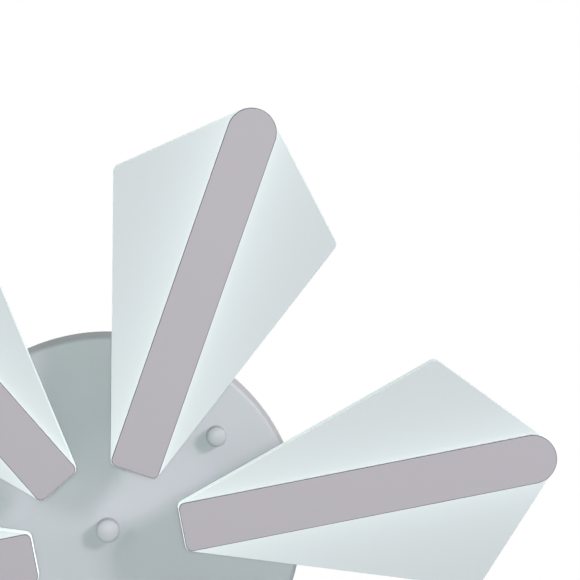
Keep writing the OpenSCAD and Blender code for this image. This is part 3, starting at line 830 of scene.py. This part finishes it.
def fit_on_wings(name, mesh, material, slot, part):
    """Fits a mesh, drawn pointing along +X, to every wing, and gives the six pieces."""
    pieces = []
    for number in range(1, wing_count + 1):
        copy = mesh.copy()
        copy.transform(Matrix.Rotation(wing_angle(number), 4, "Z"))
        wing = f"wing_{number}"
        pieces.append(fit_piece(f"{name}_{number}", copy, material, slot, wing, f"{wing}_{part}"))
    return pieces


fit_on_wings("tray", tray_mesh(), powder_coat("tray_powder_coat"), "tray_paint", "tray")

# Light strips: two white boards in each wing, with a light-emitting package every 18 mm, stuck to the
# tray under the bar's edges. The packages' lens is a warm yellow.
board_colour = (0.84, 0.85, 0.82)
lens_colour = (0.90, 0.72, 0.22)
board_face_z = -0.0739
lens_stands_out = 0.0006


def strip_finish():
    finish = new_finish("light_strip_board", board_colour, roughness=0.35)
    tree = finish.node_tree
    place = parts_of(tree, tree.nodes.new("ShaderNodeTexCoord").outputs["Object"])
    on_lens = worked_out(tree, "LESS_THAN", place["Z"], board_face_z - lens_stands_out)
    tone = mixed_colour(tree, on_lens, (*board_colour, 1), (*lens_colour, 1))
    tree.links.new(tone, tree.nodes["Principled BSDF"].inputs["Base Color"])
    return finish


board_white = strip_finish()
for number in range(1, wing_count + 1):
    wing = f"wing_{number}"
    boards = rounded_copy(f"{wing}_light_strips", 0)
    fit_piece(f"light_strips_{number}", boards, board_white, "light_strip", wing, f"{wing}_light_strips")

# Diffusers: kite-shaped covers moulded in 2 mm opal acrylic, satin outside. The light of the strips behind
# the bar is painted on them as a glow, strongest beside the bar and in the skirt and fading toward the far
# corners; the strips themselves give no light. Where the wing is narrow, painted light also comes back from
# the skirt.
acrylic_t = 0.002
front_edge_r = 0.0006
boss_hole_d = 0.0086
opal_colour = (0.600, 0.648, 0.656)
glow_colour = (0.84, 1.0, 0.94)
# Painted glow: the light of the strips is painted on the opal as emission, strongest beside the bar and
# fading outward.
glow_beside_bar = 0.155
glow_reach = 0.029
skirt_return = 0.45
# Painted light in the skirt and on the rim at the inner end, which also makes up for the lamps' light that
# reaches these sides less.
skirt_glow = 0.42
glow_at_inner_end = 0.45
inner_end_x = 0.0605
glow_most = 0.68


def diffuser_mesh():
    front, edge = diffuser_low.z, diffuser_high.z
    rings = fold(wing_corners, 0, front, front_edge_r, -1)[::-1]
    rings += [outline_ring(wing_corners, 0, edge), outline_ring(wing_corners, acrylic_t, edge)]
    rings += fold(wing_corners, acrylic_t, front + acrylic_t, front_edge_r, -1)
    shape = bmesh.new()
    add_skin(shape, rings)
    for at in boss_places:
        add_skin(shape, [ring_at(boss_hole_d / 2, level, wing_hole_sides, (at, 0))
                         for level in (front, front + acrylic_t)])
    fill_level(shape, front)
    fill_level(shape, front + acrylic_t)
    mesh = to_mesh(shape, "diffuser")
    plan = mesh.uv_layers.new(name="wing_plan")
    for loop in mesh.loops:
        plan.data[loop.index].uv = mesh.vertices[loop.vertex_index].co.xy
    return mesh


def opal_with_painted_glow():
    finish = add_grain(
        new_finish("opal_acrylic", opal_colour, roughness=0.5),
        size=0.03, depth=0.0, shade=0.006, gloss=0.05)
    tree = finish.node_tree

    def faded(path):
        return worked_out(tree, "EXPONENT", worked_out(tree, "DIVIDE", path, -glow_reach))
    # The strips' light, painted on as emission: it fades from the bar's edge, comes back from the skirt, and
    # is painted strongest in the skirt and at the inner end's rim.
    plan = tree.nodes.new("ShaderNodeUVMap")
    plan.uv_map = "wing_plan"
    at = parts_of(tree, plan.outputs[0])
    off_middle = worked_out(tree, "ABSOLUTE", at["Y"])
    past_bar = worked_out(tree, "MAXIMUM", worked_out(tree, "SUBTRACT", off_middle, bar_half), 0.0)
    side_slope = (wide_half - bar_half) / (wide_at - bar_start)
    from_start = worked_out(tree, "SUBTRACT", at["X"], bar_start)
    there_and_back = worked_out(tree, "MULTIPLY", from_start, 2 * side_slope)
    back_path = worked_out(tree, "SUBTRACT", there_and_back, past_bar)
    thrown_back = worked_out(tree, "MULTIPLY", faded(back_path), skirt_return)
    both_ways = worked_out(tree, "ADD", faded(past_bar), thrown_back)
    beside = worked_out(tree, "MULTIPLY", both_ways, glow_beside_bar)
    level = worked_out(tree, "ABSOLUTE", surface_facing(tree)["Z"])
    sideways = worked_out(tree, "SQRT", worked_out(tree, "SUBTRACT", 1.0, level))
    in_skirt = worked_out(tree, "MULTIPLY", sideways, skirt_glow)
    at_inner_end = worked_out(tree, "LESS_THAN", at["X"], inner_end_x)
    at_rim = worked_out(tree, "MULTIPLY", at_inner_end, glow_at_inner_end)
    edges = worked_out(tree, "ADD", in_skirt, at_rim)
    glow = worked_out(tree, "MINIMUM", worked_out(tree, "ADD", beside, edges), glow_most)
    tint = tree.nodes.new("ShaderNodeVectorMath")
    tint.operation = "SCALE"
    tint.inputs[0].default_value = glow_colour
    tree.links.new(glow, tint.inputs["Scale"])
    shader = tree.nodes["Principled BSDF"]
    tree.links.new(tint.outputs[0], shader.inputs["Emission Color"])
    shader.inputs["Emission Strength"].default_value = 1.0
    return finish


opal = opal_with_painted_glow()
fit_on_wings("diffuser", diffuser_mesh(), opal, "opal_acrylic", "diffuser")

# Bars: flat strips 3 mm thick in matt grey paint, square at the inner end and half-round at the outer.
# Three hollow bosses on the back go through the diffuser to the tray. The rounded front edge is coloured
# darker as a painted shade line, and the sides are coloured lighter as painted light on walls in shade.
bar_colour = (0.467, 0.44, 0.471)
# Painted shade: a dark line on the rounded front edge, picked by the way the surface faces.
bar_edge_painted_shade = (0.13, 0.125, 0.135)
painted_shade_facing = (-0.985, -0.90)
# Painted light: the sides are coloured lighter than the bar, so that they don't read dark in shade.
bar_side_painted_light = (0.70, 0.72, 0.74)
painted_light_facing = (-0.45, -0.30)
bar_edge_r = 0.0008
boss_d = 0.008
bar_bore_d = 0.0031
bar_bore_l = 0.010
boss_chamfer = 0.0004


def bar_mesh():
    front, back, boss_end = bar_low.z, diffuser_low.z, bar_high.z
    bore_end = boss_end - bar_bore_l
    boss_profile = (
        (boss_d / 2, back), (boss_d / 2, boss_end - boss_chamfer), (boss_d / 2 - boss_chamfer, boss_end),
        (bar_bore_d / 2, boss_end), (bar_bore_d / 2, bore_end))
    rings = [outline_ring(bar_corners, 0, back)] + fold(bar_corners, 0, front, bar_edge_r, -1)
    shape = bmesh.new()
    add_skin(shape, rings)
    for at in boss_places:
        add_skin(shape, [ring_at(r, z, wing_hole_sides, (at, 0)) for r, z in boss_profile])
        fill_level(shape, bore_end)
    fill_level(shape, back)
    fill_level(shape, front)
    return to_mesh(shape, "bar")


def bar_paint_with_painted_light():
    finish = add_grain(
        new_finish("bar_grey_paint", bar_colour, roughness=0.55),
        size=0.0012, depth=0.000004, shade=0.015, gloss=0.08)
    tree = finish.node_tree
    facing = surface_facing(tree)
    base = tree.nodes["Principled BSDF"].inputs["Base Color"]
    tone = base.links[0].from_socket
    # Mixes in the painted shade on the front edge and the painted light on the sides.
    for colour, (start, end) in ((bar_edge_painted_shade, painted_shade_facing), (bar_side_painted_light, painted_light_facing)):
        share = tree.nodes.new("ShaderNodeMapRange")
        share.inputs["From Min"].default_value = start
        share.inputs["From Max"].default_value = end
        tree.links.new(facing["Z"], share.inputs["Value"])
        tone = mixed_colour(tree, share.outputs[0], tone, (*colour, 1))
    tree.links.new(tone, base)
    return finish


bar_grey = bar_paint_with_painted_light()
shadeless_bars = bpy.data.collections.new("shadeless_bars")
for bar in fit_on_wings("bar", bar_mesh(), bar_grey, "bar_paint", "bar"):
    shadeless_bars.objects.link(bar)
# The opal's painted glow stands for strips that light it right up to the bars' edges, where it shows no
# shade of a bar. So the bars don't stop the light of the lamps that come in from the side.
for entry in shadeless_bars.collection_objects:
    entry.light_linking.link_state = "EXCLUDE"
for lamp in (main_lamp, low_lamp, across_lamp):
    lamp.light_linking.blocker_collection = shadeless_bars

# Bar screws: three pan-head screws in each wing's back, which pull the bar, the diffuser and the tray
# together.
screw_low, screw_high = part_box("wing_2_bar_screws")
screw_head_d = 0.00555
screw_d = 0.003
screw_pitch = 0.0005


def bar_screws_mesh():
    back = tray_high.z
    shape = bmesh.new()
    for at in boss_places:
        add_cross_head(shape, screw_head_d / 2, screw_high.z - back, (at, 0), back)
        shank = stud_mesh("shank", screw_d, screw_pitch, screw_low.z, back)
        shape.from_mesh(moved(shank, (at, 0, 0)))
    return to_mesh(shape, "bar_screws")


fit_on_wings("screws", bar_screws_mesh(), zinc, "zinc_steel", "bar_screws")

# Cap nuts: turned and painted white like the canopy, each a short cylinder with a shallow dome and a
# blind thread, screwed up until it holds the canopy.
cap_dome = 0.0035
cap_dome_steps = 12
cap_dome_end_deg = 88
cap_edge = 0.0006
cap_bore_l = 0.011
cap_sides = 64
centre_thread_d = 0.006


def cap_nut_mesh(name, node, stud_d):
    low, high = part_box(node)
    radius = (high.x - low.x) / 2
    bore_r = (stud_d + thread_clearance) / 2
    profile = [(bore_r, high.z - cap_bore_l), (bore_r, high.z)]
    profile += [(radius - cap_edge, high.z), (radius, high.z - cap_edge)]
    for k in range(cap_dome_steps + 1):
        turn = k / cap_dome_steps * math.radians(cap_dome_end_deg)
        profile.append((radius * math.cos(turn), low.z + cap_dome * (1 - math.sin(turn))))
    shape = bmesh.new()
    add_skin(shape, [ring_at(r, z, cap_sides) for r, z in profile], capped=True)
    mesh = to_mesh(shape, name)
    mesh.transform(Matrix.Translation(((low.x + high.x) / 2, (low.y + high.y) / 2, 0)))
    return mesh


for name, node, body, stud_d in (
        ("cap_nut_centre", "centre_cap_nut", "centre_cap", centre_thread_d),
        ("cap_nut_side_1", "side_cap_nut_1", "side_cap_1", side_stud_d),
        ("cap_nut_side_2", "side_cap_nut_2", "side_cap_2", side_stud_d)):
    fit_piece(name, cap_nut_mesh(name, node, stud_d), white_paint, "white_paint", body, node)
